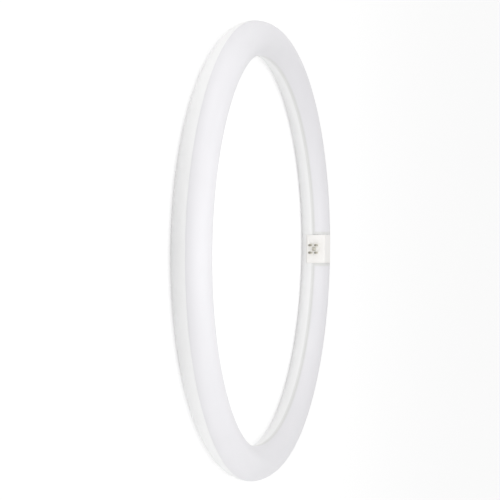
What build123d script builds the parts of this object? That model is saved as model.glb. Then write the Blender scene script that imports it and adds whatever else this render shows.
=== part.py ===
"""Circular LED tube: a two-shell plastic ring with a four-pin base block on its inner side.

Millimetres. The origin is the centre of the ring on the tube's middle plane. +Z points to the light-giving
front, and the base block is at +Y with its pins pointing to the ring's centre.
"""

import math
import os

from build123d import *

# Ring and tube
outer_diameter = 406.0
tube_diameter = 30.5

# Shells, each with an inside in flats, and the lapped seam between them
corner_wall = 1.35
inner_flats = 5
corner_drop = 3.0
seam_height = 0.8
seam_gap = 0.2
lap_height = 1.6
tongue_thickness = 0.7
lap_clearance = 0.1

# Ribs across the back shell that carry the tray
rib_count = 12
rib_height = 1.7
rib_thickness = 1.2

# Base block
base_length = 30.0
base_gap = 0.6
base_plate = 3.0
base_wall = 1.6
base_foot = 7.0
base_foot_chamfer = 1.5
shoulder_height = 13.3
shoulder_radius = 0.8
bevel = 0.6
notch_clearance = 0.1

# Contact pins
pin_spacing_x = 7.92
pin_spacing_z = 6.35
pin_centre_z = 1.7
pin_diameter = 2.4
pin_length = 7.6
pin_tip = 0.7
pin_neck = 2.2
pin_fit = 0.05
pin_tail = 2.0

# Fixing screw, with the post in the back shell that it bites into
screw_diameter = 3.0
screw_length = 9.0
screw_head_diameter = 4.6
screw_head_height = 1.6
screw_head_chamfer = 0.6
screw_recess_width = 0.7
screw_recess_span = 2.8
screw_recess_depth = 0.9
screw_fit = 0.05
screw_seat = 1.2
screw_relief = 0.5
head_clearance = 0.2
post_gap = 2.0
post_width = 5.4
post_length = 7.0
post_rise = 3.3

# Tray and LED boards
tray_height = -2.0
tray_thickness = 1.0
tray_clearance = 0.5
tray_lip = 2.4
tray_lip_thickness = 0.8
tray_end_margin = 3.0
board_count = 4
board_half_width = 8.0
board_thickness = 1.0
board_spacing = 2.0
leds_per_board = 16
led_length = 3.5
led_width = 2.8
led_height = 0.7
link_length = 6.0
link_width = 1.4
link_thickness = 0.3
link_offset = 5.5

# Driver
driver_inset = 6.5
driver_angle = 44.0
driver_board_gap = 0.2
driver_board_thickness = 1.2
driver_board_inset = 1.1
trough_thickness = 0.5
trough_clearance = 0.1
sheet_thickness = 0.4

# Parts that hang from the driver board: their places along it, and the gaps under the tall ones
fuse_place = 16.0
fuse_diameter = 3.2
fuse_length = 9.0
varistor_place = 27.0
varistor_diameter = 7.0
varistor_thickness = 4.0
input_capacitor_place = 40.0
input_capacitor_length = 13.0
input_capacitor_width = 6.0
input_capacitor_gap = 1.9
rectifier_place = 53.0
rectifier_size = (4.7, 3.9, 2.5)
bulk_capacitor_places = (68.0, 90.0)
bulk_capacitor_gap = 1.1
bulk_capacitor_length = 20.0
chip_place = 105.0
chip_size = (4.9, 3.9, 1.5)
transformer_place = 117.0
core_length = 9.0
core_width = 10.0
core_gap = 1.4
core_yoke = 2.0
core_leg = 3.0
window_width = 2.0
winding_thickness = 1.0
choke_place = 130.0
choke_diameter = 6.0
choke_gap = 2.4

# Leads
lead_diameter = 0.9
lead_sides = 8
lead_past_post = 3.2
lead_spacing = 4.0
lead_climb = 4.0
lead_run_height = 1.8
upper_landing = 3.7
lower_landing = 1.5
output_landing = 2.0
output_offsets = (3.5, 6.0)
output_overlap = 2.5

# Sizes that follow from these
ring_radius = (outer_diameter - tube_diameter) / 2
tube_radius = tube_diameter / 2
half_base = base_length / 2
driver_start = half_base - driver_inset
plate_face = math.sqrt((ring_radius - tube_radius) ** 2 - half_base**2)
plate_back = plate_face + base_plate
lap_top = seam_height + lap_height
tray_top = tray_height + tray_thickness
board_top = tray_top + board_thickness
driver_board_top = tray_height - sheet_thickness - driver_board_gap
driver_board_low = driver_board_top - driver_board_thickness
corner_radius = tube_radius - corner_wall
first_corner = math.degrees(math.asin(corner_drop / corner_radius))
flat_turn = (180 - 2 * first_corner) / inner_flats
cavity_half_width = math.sqrt(corner_radius**2 - corner_drop**2)
tray_half_width = cavity_half_width - tray_clearance
tongue_outer = cavity_half_width + tongue_thickness
trough_outer = corner_radius - rib_height - trough_clearance
trough_inner = trough_outer - trough_thickness
driver_board_half_width = trough_outer - driver_board_inset
component_room = driver_board_low + trough_inner * math.cos(math.radians(flat_turn / 2))
input_capacitor_height = component_room - input_capacitor_gap
bulk_capacitor_diameter = component_room - bulk_capacitor_gap
core_height = component_room - 2 * winding_thickness - core_gap
choke_height = component_room - choke_gap
skirt_inner = tongue_outer + lap_clearance
skirt_low = seam_height + seam_gap
post_face = plate_back + post_gap
post_top = pin_centre_z + post_rise
screw_reach = plate_face + screw_seat + screw_length
pin_end = base_plate + pin_tail
lead_turn_far = post_face + post_length + lead_past_post
lead_turn_near = lead_turn_far - lead_spacing
base_angle = 90.0
upwards = (Align.CENTER, Align.MIN)


def angle_of(length):
    """The angle in degrees that a length along the ring's centre line takes up"""
    return math.degrees(length / ring_radius)


def radial_plane(angle):
    """A plane through the ring's axis: its x runs outwards and its y runs along +Z"""
    turn = math.radians(angle)
    outwards = (math.cos(turn), math.sin(turn), 0)
    along = (math.sin(turn), -math.cos(turn), 0)
    return Plane(origin=(0, 0, 0), x_dir=outwards, z_dir=along)


def channel(corner, top):
    """The flat-sided room in the tube's lower half, with its corners on a circle, up to a height"""
    turns = [math.radians(first_corner + number * flat_turn) for number in range(inner_flats + 1)]
    corners = [(ring_radius + corner * math.cos(turn), -corner * math.sin(turn)) for turn in turns]
    with BuildSketch() as room:
        with BuildLine():
            Polyline((corners[0][0], tube_radius), *corners, (corners[-1][0], tube_radius), close=True)
        make_face()
        with Locations((ring_radius, top)):
            Rectangle(2 * tube_diameter, 2 * tube_diameter, align=upwards, mode=Mode.SUBTRACT)
    return room.sketch


def strip(half_width, low, high, offset=0.0):
    """A flat rectangle of the tube's section, centred on the centre line or beside it"""
    with BuildSketch() as flat:
        with Locations((ring_radius + offset, (low + high) / 2)):
            Rectangle(2 * half_width, high - low)
    return flat.sketch


def ring_box(half_length, near, far, low, high):
    """A box across the base's place on the ring, as its centre and size"""
    centre = (0, (near + far) / 2, (low + high) / 2)
    return centre, (2 * half_length, far - near, high - low)


# Back shell: half of the tube all the way round, with a tongue along its rim
with BuildPart() as screw_post:
    centre, size = ring_box(post_width / 2, post_face, post_face + post_length, -tube_radius, post_top)
    with Locations(centre):
        Box(*size)
    Torus(ring_radius, tube_radius - corner_wall / 2, mode=Mode.INTERSECT)
    with BuildSketch(Plane(origin=(0, post_face, pin_centre_z), x_dir=(1, 0, 0), z_dir=(0, -1, 0))):
        Circle(screw_diameter / 2 + screw_fit)
    extrude(amount=-(screw_reach - post_face + screw_relief), mode=Mode.SUBTRACT)

with BuildPart() as back_shell:
    with BuildSketch(radial_plane(0)):
        with Locations((ring_radius, 0)):
            Circle(tube_radius)
        with Locations((ring_radius, seam_height)):
            Rectangle(2 * tube_diameter, tube_diameter, align=upwards, mode=Mode.SUBTRACT)
        add(strip(tongue_outer, tray_height, lap_top))
        add(channel(corner_radius, lap_top), mode=Mode.SUBTRACT)
    revolve(axis=Axis.Z)
    rib_turn = angle_of(rib_thickness)
    for number in range(rib_count):
        middle = base_angle + (number + 0.5) * 360 / rib_count
        with BuildSketch(radial_plane(middle - rib_turn / 2)):
            add(channel(corner_radius + corner_wall / 3, tray_height))
            add(channel(corner_radius - rib_height, tray_height), mode=Mode.SUBTRACT)
        revolve(axis=Axis.Z, revolution_arc=rib_turn)
    half_notch = half_base + notch_clearance
    notch_end = plate_back + notch_clearance
    notch = ring_box(half_notch, plate_face - tube_radius, notch_end, -base_foot, tube_radius)
    with Locations(notch[0]):
        Box(*notch[1], mode=Mode.SUBTRACT)
    add(screw_post.part)
back_shell.part.label = "back_shell"

# Front diffuser: the other half, with a skirt that laps over the tongue, open where the base stands
gap_turn = angle_of(half_base)
with BuildPart() as front_diffuser:
    with BuildSketch(radial_plane(base_angle + gap_turn / 2)):
        with Locations((ring_radius, 0)):
            Circle(tube_radius)
        with Locations((ring_radius, skirt_low)):
            Rectangle(2 * tube_diameter, tube_diameter, align=upwards, mode=Mode.INTERSECT)
        add(strip(skirt_inner, 0, lap_top), mode=Mode.SUBTRACT)
        mirror(channel(corner_radius, 0), about=Plane.XZ, mode=Mode.SUBTRACT)
    revolve(axis=Axis.Z, revolution_arc=360 - gap_turn)
    opening = ring_box(half_base + base_gap, 0, outer_diameter, -tube_diameter, tube_diameter)
    with Locations(opening[0]):
        Box(*opening[1], mode=Mode.SUBTRACT)
front_diffuser.part.label = "front_diffuser"


# Base housing: a hollow block with a flat front plate, seated in the back shell's notch. Its section has a
# sloping shoulder, then goes round the tube's outer side
shoulder_slope = (tube_radius - shoulder_height) / (ring_radius - plate_face)
trim = plate_face - shoulder_height
shoulder_drop = shoulder_slope * (ring_radius - trim)
outer_side = math.sqrt(tube_radius**2 - skirt_low**2)
with BuildSketch() as base_outside:
    with BuildLine():
        Polyline(
            (ring_radius + outer_side, skirt_low),
            (trim, skirt_low),
            (trim, tube_radius - shoulder_drop),
            (ring_radius, tube_radius),
        )
        ThreePointArc(
            (ring_radius, tube_radius),
            (ring_radius + tube_radius * math.sqrt(0.5), tube_radius * math.sqrt(0.5)),
            (ring_radius + outer_side, skirt_low),
        )
    make_face()

cavity_turns = [math.radians(first_corner + number * flat_turn) for number in range(inner_flats // 2 + 1)]
cavity_corners = [
    (ring_radius + corner_radius * math.cos(turn), corner_radius * math.sin(turn)) for turn in cavity_turns
]
with BuildSketch() as base_inside:
    with BuildLine():
        Polyline(
            (cavity_corners[0][0], lap_top),
            *cavity_corners,
            (trim, cavity_corners[-1][1] - shoulder_drop),
            (trim, lap_top),
            close=True,
        )
    make_face()

block_turn = angle_of(base_length + tube_diameter)
block_start = radial_plane(base_angle - block_turn / 2)
pin_plane = Plane(origin=(0, plate_face, pin_centre_z), x_dir=(1, 0, 0), z_dir=(0, -1, 0))

with BuildPart() as base_cavity:
    with BuildSketch(block_start):
        add(base_inside.sketch)
    revolve(axis=Axis.Z, revolution_arc=block_turn)
    room = ring_box(half_base - base_wall, plate_back, outer_diameter, -tube_diameter, tube_diameter)
    with Locations(room[0]):
        Box(*room[1], mode=Mode.INTERSECT)

with BuildPart() as base_lap:
    with BuildSketch(block_start):
        add(strip(skirt_inner, -tube_radius, lap_top))
    revolve(axis=Axis.Z, revolution_arc=block_turn)
    room = ring_box(outer_diameter, plate_back, outer_diameter, -tube_diameter, tube_diameter)
    with Locations(room[0]):
        Box(*room[1], mode=Mode.INTERSECT)

with BuildPart() as base_housing:
    with BuildSketch(block_start):
        add(base_outside.sketch)
    revolve(axis=Axis.Z, revolution_arc=block_turn)
    outside = ring_box(half_base, plate_face, outer_diameter, -tube_diameter, tube_diameter)
    with Locations(outside[0]):
        Box(*outside[1], mode=Mode.INTERSECT)
    ends = [edge for edge in edges() if abs(edge.center().X) > half_base - bevel]
    proud = [edge for edge in ends if edge.bounding_box().max.Y < ring_radius and edge.center().Z > lap_top]
    chamfer(proud, length=bevel)
    fillet(edges().group_by(Axis.Y)[0].sort_by(Axis.Z)[-1], radius=shoulder_radius)
    add(base_cavity.part, mode=Mode.SUBTRACT)
    add(base_lap.part, mode=Mode.SUBTRACT)
    with BuildSketch(Plane.YZ.offset(-half_base)):
        with BuildLine():
            Polyline(
                (plate_face, skirt_low),
                (plate_back, skirt_low),
                (plate_back, -base_foot),
                (plate_face + base_foot_chamfer, -base_foot),
                (plate_face, base_foot_chamfer - base_foot),
                close=True,
            )
        make_face()
    extrude(amount=base_length)
    with BuildSketch(pin_plane.offset(-base_plate)):
        Circle(post_width / 2)
    extrude(amount=-post_gap)
    with BuildSketch(pin_plane):
        with GridLocations(pin_spacing_x, pin_spacing_z, 2, 2):
            Circle(pin_neck / 2 + pin_fit)
    extrude(amount=-base_plate, mode=Mode.SUBTRACT)
    with BuildSketch(pin_plane):
        Circle(screw_diameter / 2 + screw_fit)
    extrude(amount=-(base_plate + post_gap), mode=Mode.SUBTRACT)
    with BuildSketch(pin_plane):
        Circle(screw_head_diameter / 2 + head_clearance)
    extrude(amount=-screw_seat, mode=Mode.SUBTRACT)
base_housing.part.label = "base_housing"

# Contact pins: turned, with a shoulder on the plate and a neck pressed through it
pin_outline = [
    (0, pin_length),
    (pin_diameter / 2 - pin_tip, pin_length),
    (pin_diameter / 2, pin_length - pin_tip),
    (pin_diameter / 2, 0),
    (pin_neck / 2, 0),
    (pin_neck / 2, -pin_end),
    (0, -pin_end),
]
pin_places = [(side * pin_spacing_x / 2, rise * pin_spacing_z / 2) for rise in (1, -1) for side in (-1, 1)]
pins = []
for number, (across, up) in enumerate(pin_places, 1):
    pin_axis = Plane(origin=(across, plate_face, pin_centre_z + up), x_dir=(1, 0, 0), z_dir=(0, 0, 1))
    with BuildPart() as pin:
        with BuildSketch(pin_axis):
            with BuildLine():
                Polyline(*[(radius, -along) for radius, along in pin_outline], close=True)
            make_face()
        revolve(axis=Axis(pin_axis.origin, (0, 1, 0)))
    pin.part.label = f"contact_pin_{number}"
    pins.append(pin)

# Fixing screw: pan head with a cross recess
with BuildPart() as base_screw:
    with BuildSketch(pin_plane.offset(-screw_seat)):
        Circle(screw_head_diameter / 2)
    extrude(amount=screw_head_height)
    chamfer(edges().sort_by(Axis.Y)[0], length=screw_head_chamfer)
    with BuildSketch(pin_plane.offset(-screw_seat)):
        Circle(screw_diameter / 2)
    extrude(amount=-screw_length)
    with BuildSketch(pin_plane.offset(screw_head_height - screw_seat)):
        Rectangle(screw_recess_span, screw_recess_width)
        Rectangle(screw_recess_width, screw_recess_span)
    extrude(amount=-screw_recess_depth, mode=Mode.SUBTRACT)
base_screw.part.label = "base_screw"

# Heat spreader: an aluminium tray with a lip along each side, on the ribs' tops
tray_start = base_angle + angle_of(half_base + tray_end_margin)
tray_angle = 360 - 2 * (tray_start - base_angle)
lip_offset = tray_half_width - tray_lip_thickness / 2
with BuildPart() as heat_spreader:
    with BuildSketch(radial_plane(tray_start)):
        add(strip(tray_half_width, tray_height, tray_top))
        for side in (-1, 1):
            add(strip(tray_lip_thickness / 2, tray_height, tray_height + tray_lip, side * lip_offset))
    revolve(axis=Axis.Z, revolution_arc=tray_angle)
heat_spreader.part.label = "heat_spreader"

# LED boards end to end on the tray, each with its row of LEDs
board_gap = angle_of(board_spacing)
board_angle = (tray_angle - board_gap) / board_count - board_gap
led_pitch = board_angle / leds_per_board
boards = []
for number in range(board_count):
    board_start = tray_start + board_gap + number * (board_angle + board_gap)
    with BuildPart() as led_board:
        with BuildSketch(radial_plane(board_start)):
            add(strip(board_half_width, tray_top, board_top))
        revolve(axis=Axis.Z, revolution_arc=board_angle)
    led_board.part.label = f"led_board_{number + 1}"
    with BuildPart(Plane.XY.offset(board_top)) as led_packages:
        with PolarLocations(ring_radius, leds_per_board, board_start + led_pitch / 2, board_angle):
            Box(led_width, led_length, led_height, align=(Align.CENTER, Align.CENTER, Align.MIN))
    led_packages.part.label = f"led_packages_{number + 1}"
    boards += [led_board, led_packages]

# Soldered links that carry the current from board to board
first_link = tray_start + board_gap / 2 + board_angle + board_gap
link_range = (board_count - 1) * (board_angle + board_gap)
with BuildPart(Plane.XY.offset(board_top)) as board_links:
    for side in (-1, 1):
        with PolarLocations(ring_radius + side * link_offset, board_count - 1, first_link, link_range):
            Box(link_width, link_length, link_thickness, align=(Align.CENTER, Align.CENTER, Align.MIN))
board_links.part.label = "board_links"

# Driver: a curved board face down in an insulating trough, with a sheet between it and the tray
driver_first = base_angle + angle_of(driver_start)
with BuildPart() as driver_board:
    with BuildSketch(radial_plane(driver_first)):
        add(strip(driver_board_half_width, driver_board_low, driver_board_top))
    revolve(axis=Axis.Z, revolution_arc=driver_angle)
driver_board.part.label = "driver_board"

with BuildPart() as driver_trough:
    with BuildSketch(radial_plane(driver_first)):
        add(channel(trough_outer, driver_board_low))
        add(channel(trough_inner, driver_board_low), mode=Mode.SUBTRACT)
    revolve(axis=Axis.Z, revolution_arc=driver_angle)
driver_trough.part.label = "driver_trough"

with BuildPart() as insulation_sheet:
    with BuildSketch(radial_plane(tray_start)):
        add(strip(driver_board_half_width, tray_height - sheet_thickness, tray_height))
    revolve(axis=Axis.Z, revolution_arc=driver_first + driver_angle - tray_start)
insulation_sheet.part.label = "insulation_sheet"


def driver_plane(distance):
    """The driver board's underside at a distance along it: x runs along the ring and z points up"""
    turn = math.radians(driver_first + angle_of(distance))
    place = (ring_radius * math.cos(turn), ring_radius * math.sin(turn), driver_board_low)
    return Plane(origin=place, x_dir=(-math.sin(turn), math.cos(turn), 0), z_dir=(0, 0, 1))


hanging = (Align.CENTER, Align.CENTER, Align.MAX)
with BuildPart(driver_plane(fuse_place)) as fuse_resistor:
    with Locations((0, 0, -fuse_diameter / 2)):
        Cylinder(fuse_diameter / 2, fuse_length, rotation=(0, 90, 0))
fuse_resistor.part.label = "fuse_resistor"

with BuildPart(driver_plane(varistor_place)) as varistor:
    Cylinder(varistor_diameter / 2, varistor_thickness, align=hanging)
varistor.part.label = "varistor"

with BuildPart(driver_plane(input_capacitor_place)) as input_capacitor:
    Box(input_capacitor_length, input_capacitor_width, input_capacitor_height, align=hanging)
input_capacitor.part.label = "input_capacitor"

with BuildPart(driver_plane(rectifier_place)) as bridge_rectifier:
    Box(*rectifier_size, align=hanging)
bridge_rectifier.part.label = "bridge_rectifier"

bulk_capacitors = []
for number, place in enumerate(bulk_capacitor_places, 1):
    with BuildPart(driver_plane(place)) as bulk_capacitor:
        with Locations((0, 0, -bulk_capacitor_diameter / 2)):
            Cylinder(bulk_capacitor_diameter / 2, bulk_capacitor_length, rotation=(0, 90, 0))
    bulk_capacitor.part.label = f"bulk_capacitor_{number}"
    bulk_capacitors.append(bulk_capacitor)

with BuildPart(driver_plane(chip_place)) as controller_chip:
    Box(*chip_size, align=hanging)
controller_chip.part.label = "controller_chip"

# Transformer: a core of two yokes and three legs, with the winding round the middle leg
window_length = core_length - 2 * core_yoke
leg_centre = -(core_height / 2 + winding_thickness)
with BuildPart(driver_plane(transformer_place).offset(leg_centre)) as transformer_core:
    Box(core_length, core_width, core_height)
    for side in (-1, 1):
        with Locations((0, side * (core_leg / 2 + window_width / 2), 0)):
            Box(window_length, window_width, core_height, mode=Mode.SUBTRACT)
transformer_core.part.label = "transformer_core"

with BuildPart(driver_plane(transformer_place).offset(leg_centre)) as transformer_winding:
    Box(window_length, core_leg + 2 * window_width, core_height + 2 * winding_thickness)
    Box(window_length, core_leg, core_height, mode=Mode.SUBTRACT)
transformer_winding.part.label = "transformer_winding"

with BuildPart(driver_plane(choke_place)) as output_choke:
    Cylinder(choke_diameter / 2, choke_height, align=hanging)
output_choke.part.label = "output_choke"


def lead(label, points):
    """A thin wire along straight runs"""
    with BuildPart() as wire:
        with BuildLine() as route:
            Polyline(*points)
        with BuildSketch(Plane(origin=route.line @ 0, z_dir=route.line % 0)):
            RegularPolygon(lead_diameter / 2, lead_sides)
        sweep(transition=Transition.RIGHT)
    wire.part.label = label
    return wire


# Leads from the pins' necks, past the screw post, down to the driver board
leads = []
for number, (across, up) in enumerate(pin_places, 1):
    height = pin_centre_z + up
    turning = lead_turn_near if across < 0 else lead_turn_far
    route = [(across, plate_face + pin_end, height), (across, turning, height)]
    if up > 0:
        landing = -driver_start - upper_landing
        route.append((landing, turning, height))
    else:
        landing = -driver_start - lower_landing
        route.append((across - lead_climb, turning, lead_run_height))
        route.append((landing, turning, lead_run_height))
    route.append((landing, turning, driver_board_top))
    leads.append(lead(f"pin_lead_{number}", route))

# Leads from the driver board up to the first LED board
for number, offset in enumerate(output_offsets, 1):
    resting = board_top + lead_diameter / 2
    start = -driver_start - output_landing
    end = -half_base - tray_end_margin - output_overlap
    route = [
        (start, ring_radius + offset, driver_board_top),
        (start, ring_radius + offset, resting),
        (end, ring_radius + offset, resting),
    ]
    leads.append(lead(f"output_lead_{number}", route))

os.makedirs("parts", exist_ok=True)
export_step(back_shell.part, "parts/back_shell.step")
export_step(front_diffuser.part, "parts/front_diffuser.step")
export_step(base_housing.part, "parts/base_housing.step")
export_step(base_screw.part, "parts/base_screw.step")
export_step(heat_spreader.part, "parts/heat_spreader.step")
export_step(board_links.part, "parts/board_links.step")
export_step(driver_board.part, "parts/driver_board.step")
export_step(driver_trough.part, "parts/driver_trough.step")
export_step(insulation_sheet.part, "parts/insulation_sheet.step")
export_step(fuse_resistor.part, "parts/fuse_resistor.step")
export_step(varistor.part, "parts/varistor.step")
export_step(input_capacitor.part, "parts/input_capacitor.step")
export_step(bridge_rectifier.part, "parts/bridge_rectifier.step")
export_step(controller_chip.part, "parts/controller_chip.step")
export_step(transformer_core.part, "parts/transformer_core.step")
export_step(transformer_winding.part, "parts/transformer_winding.step")
export_step(output_choke.part, "parts/output_choke.step")
for piece in pins + boards + bulk_capacitors + leads:
    export_step(piece.part, f"parts/{piece.part.label}.step")
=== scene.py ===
"""Circular LED tube: the finished look of every piece, laid out as an add-on.

Lengths are in metres. The lamp lies flat on a pale floor: +Z is the light-giving front, and the base block is
at +Y with its pins pointing to the ring's centre.
"""

import math

import bmesh
import bpy
from mathutils import Matrix, Vector


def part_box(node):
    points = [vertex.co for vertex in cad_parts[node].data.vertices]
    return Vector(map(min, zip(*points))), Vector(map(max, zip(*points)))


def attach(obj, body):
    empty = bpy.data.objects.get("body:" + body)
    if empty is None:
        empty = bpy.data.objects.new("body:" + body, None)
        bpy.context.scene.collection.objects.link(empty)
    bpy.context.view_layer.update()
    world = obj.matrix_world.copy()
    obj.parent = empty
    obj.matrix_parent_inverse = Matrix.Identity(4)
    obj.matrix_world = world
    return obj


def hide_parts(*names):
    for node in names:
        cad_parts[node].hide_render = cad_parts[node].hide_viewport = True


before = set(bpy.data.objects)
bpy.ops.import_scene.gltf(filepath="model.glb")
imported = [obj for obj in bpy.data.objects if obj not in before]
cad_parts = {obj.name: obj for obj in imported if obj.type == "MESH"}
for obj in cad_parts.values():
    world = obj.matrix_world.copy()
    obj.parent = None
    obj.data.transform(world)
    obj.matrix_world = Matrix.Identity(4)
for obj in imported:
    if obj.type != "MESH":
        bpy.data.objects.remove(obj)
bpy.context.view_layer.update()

bl_info = {
    "name": "Ring lamp",
    "version": (1, 0, 0),
    "blender": (4, 5, 0),
    "location": "View3D > Sidebar > Ring Lamp",
    "description": "Shells, base, pins and inner pieces of a circular LED tube, with their finishes",
    "category": "Object",
}

MM = 0.001
MERGE = 0.001 * MM  # points nearer to each other than this are made one
DOME = [math.pi / 2 * step / 8 for step in range(9)]  # turns from the middle of a dome to its edge


def four(name):
    """The names of four like nodes"""
    return [f"{name}_{digit}" for digit in "1234"]


SHELL_LOW, SHELL_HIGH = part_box("back_shell")
BASE_LOW, BASE_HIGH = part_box("base_housing")
PIN_BOXES = [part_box(name) for name in four("contact_pin")]
SCREW_LOW, SCREW_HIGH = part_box("base_screw")
PACKAGES_LOW, PACKAGES_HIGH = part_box("led_packages_1")
TUBE_RADIUS = -SHELL_LOW.z
RING_RADIUS = SHELL_HIGH.x - TUBE_RADIUS


def linear(code):
    """An sRGB hex value as a linear colour with alpha"""
    channels = [channel / 255 for channel in bytes.fromhex(code)]
    return [c / 12.92 if c <= 0.04045 else ((c + 0.055) / 1.055) ** 2.4 for c in channels] + [1.0]


def length(name, description, default):
    """A length property in metres"""
    return bpy.props.FloatProperty(
        name=name, description=description, default=default, unit="LENGTH", subtype="DISTANCE", precision=5
    )


def colour(name, description, code):
    """A colour property with a default from its sRGB hex value"""
    return bpy.props.FloatVectorProperty(
        name=name, description=description, default=linear(code), size=4, subtype="COLOR", min=0, max=1
    )


def power(name, description, default):
    """A lamp's power in watts"""
    return bpy.props.FloatProperty(name=name, description=description, default=default, unit="POWER")


def angle(name, description, default):
    """An angle property in radians"""
    return bpy.props.FloatProperty(name=name, description=description, default=default, subtype="ANGLE")


def ratio(name, description, default):
    """A property without a unit"""
    return bpy.props.FloatProperty(name=name, description=description, default=default)


def count(name, description, default):
    """A whole number property"""
    return bpy.props.IntProperty(name=name, description=description, default=default)


class ShellSizes(bpy.types.PropertyGroup):
    """The two shells and the seam between them"""

    ring_radius: length("Ring radius", "From the ring's centre to the middle of the tube", RING_RADIUS)
    tube_radius: length("Tube radius", "Outer radius of the tube's round section", TUBE_RADIUS)
    corner_wall: length("Wall at corners", "Least wall, at the corners of the flat-sided inside", 1.35 * MM)
    corner_drop: length("Corner drop", "From the middle plane to where the inside's flats begin", 3 * MM)
    flats: count("Flats", "Flat sides of each shell's inside", 5)
    seam_height: length("Seam height", "Rim of the back shell above the middle plane", 0.8 * MM)
    lap_top: length("Lap top", "Top of the tongue above the middle plane", 2.4 * MM)
    tongue: length("Tongue thickness", "Thickness of the tongue along the back shell's rim", 0.7 * MM)
    clearance: length("Lap clearance", "Play between the tongue and the diffuser's skirt", 0.1 * MM)
    seam_line: length("Seam line", "Width of the line between the shells' rims", 0.03 * MM)
    edge_radius: length("Edge radius", "Rounding of the moulded rims", 0.08 * MM)
    ring_steps: count("Ring steps", "Faces round the ring", 360)
    arc_steps: count("Section steps", "Faces round half a section", 64)
    opening: length("Opening", "Half the width that the diffuser leaves for the base block", 15.15 * MM)
    rib_count: count("Ribs", "Ribs inside the back shell", 12)
    rib_height: length("Rib height", "From the inside's corners to the ribs' inner edges", 1.7 * MM)
    rib_thickness: length("Rib thickness", "Thickness of a rib along the ring", 1.2 * MM)
    rib_top: length("Rib top", "Top of the ribs, where the tray rests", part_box("heat_spreader")[0].z)
    notch_play: length("Notch play", "Gap between the base block and the back shell", 0.1 * MM)
    shell_white: colour("Shell white", "Opaque white of the back shell", "F8F8F8")
    diffuser_white: colour("Diffuser white", "Milky white of the front diffuser", "EBEAED")


class BaseSizes(bpy.types.PropertyGroup):
    """The base block with its pins and screw"""

    edge_radius: length("Edge radius", "Rounding of the block's moulded edges", 0.15 * MM)
    plate: length("Plate", "Thickness of the block's front plate", 3 * MM)
    post_gap: length("Post gap", "From the plate to the screw's post", 2 * MM)
    post_length: length("Post length", "Length of the screw's post", 7 * MM)
    post_width: length("Post width", "Width of the screw's post", 5.4 * MM)
    pin_neck: length("Pin neck", "Radius of a pin's neck in the plate", 1.1 * MM)
    pin_tip: length("Pin tip", "Length of the rounded tip of a pin", 0.7 * MM)
    pin_bore: length("Pin bore", "Radius of the crimped hole in a pin's tip", 0.5 * MM)
    bore_depth: length("Bore depth", "Depth of the crimped hole in a pin's tip", 2.5 * MM)
    dull_tip: length("Dull tip", "Length over which a pin's dark tip fades to clean plating", 3 * MM)
    screw_shank: length("Screw shank", "Radius of the screw's shank", 1.5 * MM)
    head_height: length("Head height", "Height of the screw's head", 1.6 * MM)
    head_dome: ratio("Head dome", "Share of the head's height that is domed", 0.55)
    recess_span: length("Recess span", "Width of the cross recess over its arms", 2.8 * MM)
    recess_width: length("Recess width", "Width of an arm of the cross recess", 0.7 * MM)
    recess_depth: length("Recess depth", "Depth of the cross recess", 0.7 * MM)
    recess_taper: ratio("Recess taper", "Share of its span that an arm keeps at its bottom", 0.4)
    recess_thinning: ratio("Recess thinning", "Share of its width that an arm keeps at its bottom", 0.7)
    base_white: colour("Base white", "Warm white of the base block", "FBF9F7")
    pin_metal: colour("Pin metal", "Dulled plating of the contact pins", "DCDACE")
    screw_metal: colour("Screw metal", "Zinc plating of the screw", "DEDBD2")


class LightSizes(bpy.types.PropertyGroup):
    """The LED boards"""

    boards: count("Boards", "LED boards round the ring", 4)
    leds: count("LEDs", "LEDs on each board", 16)
    end_margin: length("End margin", "From the base block to the tray's end", 3 * MM)
    spacing: length("Board spacing", "Gap between two boards along the ring", 2 * MM)
    package_length: length("Package length", "Length of an LED package along the ring", 3.5 * MM)
    package_width: length("Package width", "Width of an LED package across the ring", 2.8 * MM)
    window_margin: length("Window margin", "White frame round the phosphor window", 0.4 * MM)
    dish: length("Dish", "Depth of the window below the frame's top", 0.12 * MM)
    frame_white: colour("Frame white", "White moulded frame of a package", "F2F2EC")
    phosphor: colour("Phosphor", "Yellow phosphor under the window", "E8D24E")


class StageSettings(bpy.types.PropertyGroup):
    """Camera, floor and lamps"""

    distance: length("Camera distance", "From the ring's centre to the camera", 927.23 * MM)
    elevation: angle("Elevation", "Camera above the ring's plane", math.radians(16.696))
    turn: angle("Turn", "Camera's turn round the ring's axis", math.radians(-0.9))
    roll: angle("Roll", "Camera's turn about its own axis", math.radians(90.644))
    aim_side: angle("Sideways aim", "Aim beside the ring's centre", -0.000713)
    aim_up: angle("Upward aim", "Aim above the ring's centre", -0.015218)
    lens: bpy.props.FloatProperty(
        name="Lens", description="Focal length in millimetres", default=74.161, subtype="DISTANCE_CAMERA"
    )
    floor_size: length("Floor size", "Side of the floor", 16.0)
    ambient: ratio("Ambient", "Strength of the even light", 0.6)
    key_power: power("Key lamp", "Lamp in front of the ring's near side", 1.06)
    over_power: power("Over lamp", "Lamp over the ring's near side", 0.77)
    left_power: power("Left lamp", "Lamp on the ring's left, towards the camera", 3.1)
    right_power: power("Right lamp", "Lamp on the ring's right, towards the camera", 2.5)
    floor_white: colour("Floor white", "Pale floor", "F6F6F6")
    front_grey: colour("Front grey", "Greyer floor in front, which throws less light up", "B8B8B8")
    grey_from: length("Grey from", "Place along Y up to which the floor is all grey", -0.3)
    grey_to: length("Grey to", "Place along Y where the grey has faded out", -0.14)
    floor_glow: ratio("Floor glow", "Share of plain white in the floor that the camera sees", 0.6)
    glow_strength: ratio("Glow strength", "Strength of that white on the pale floor", 1.2)
    front_gain: ratio("Front gain", "What that white gains over the grey floor", 0.17)


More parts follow.
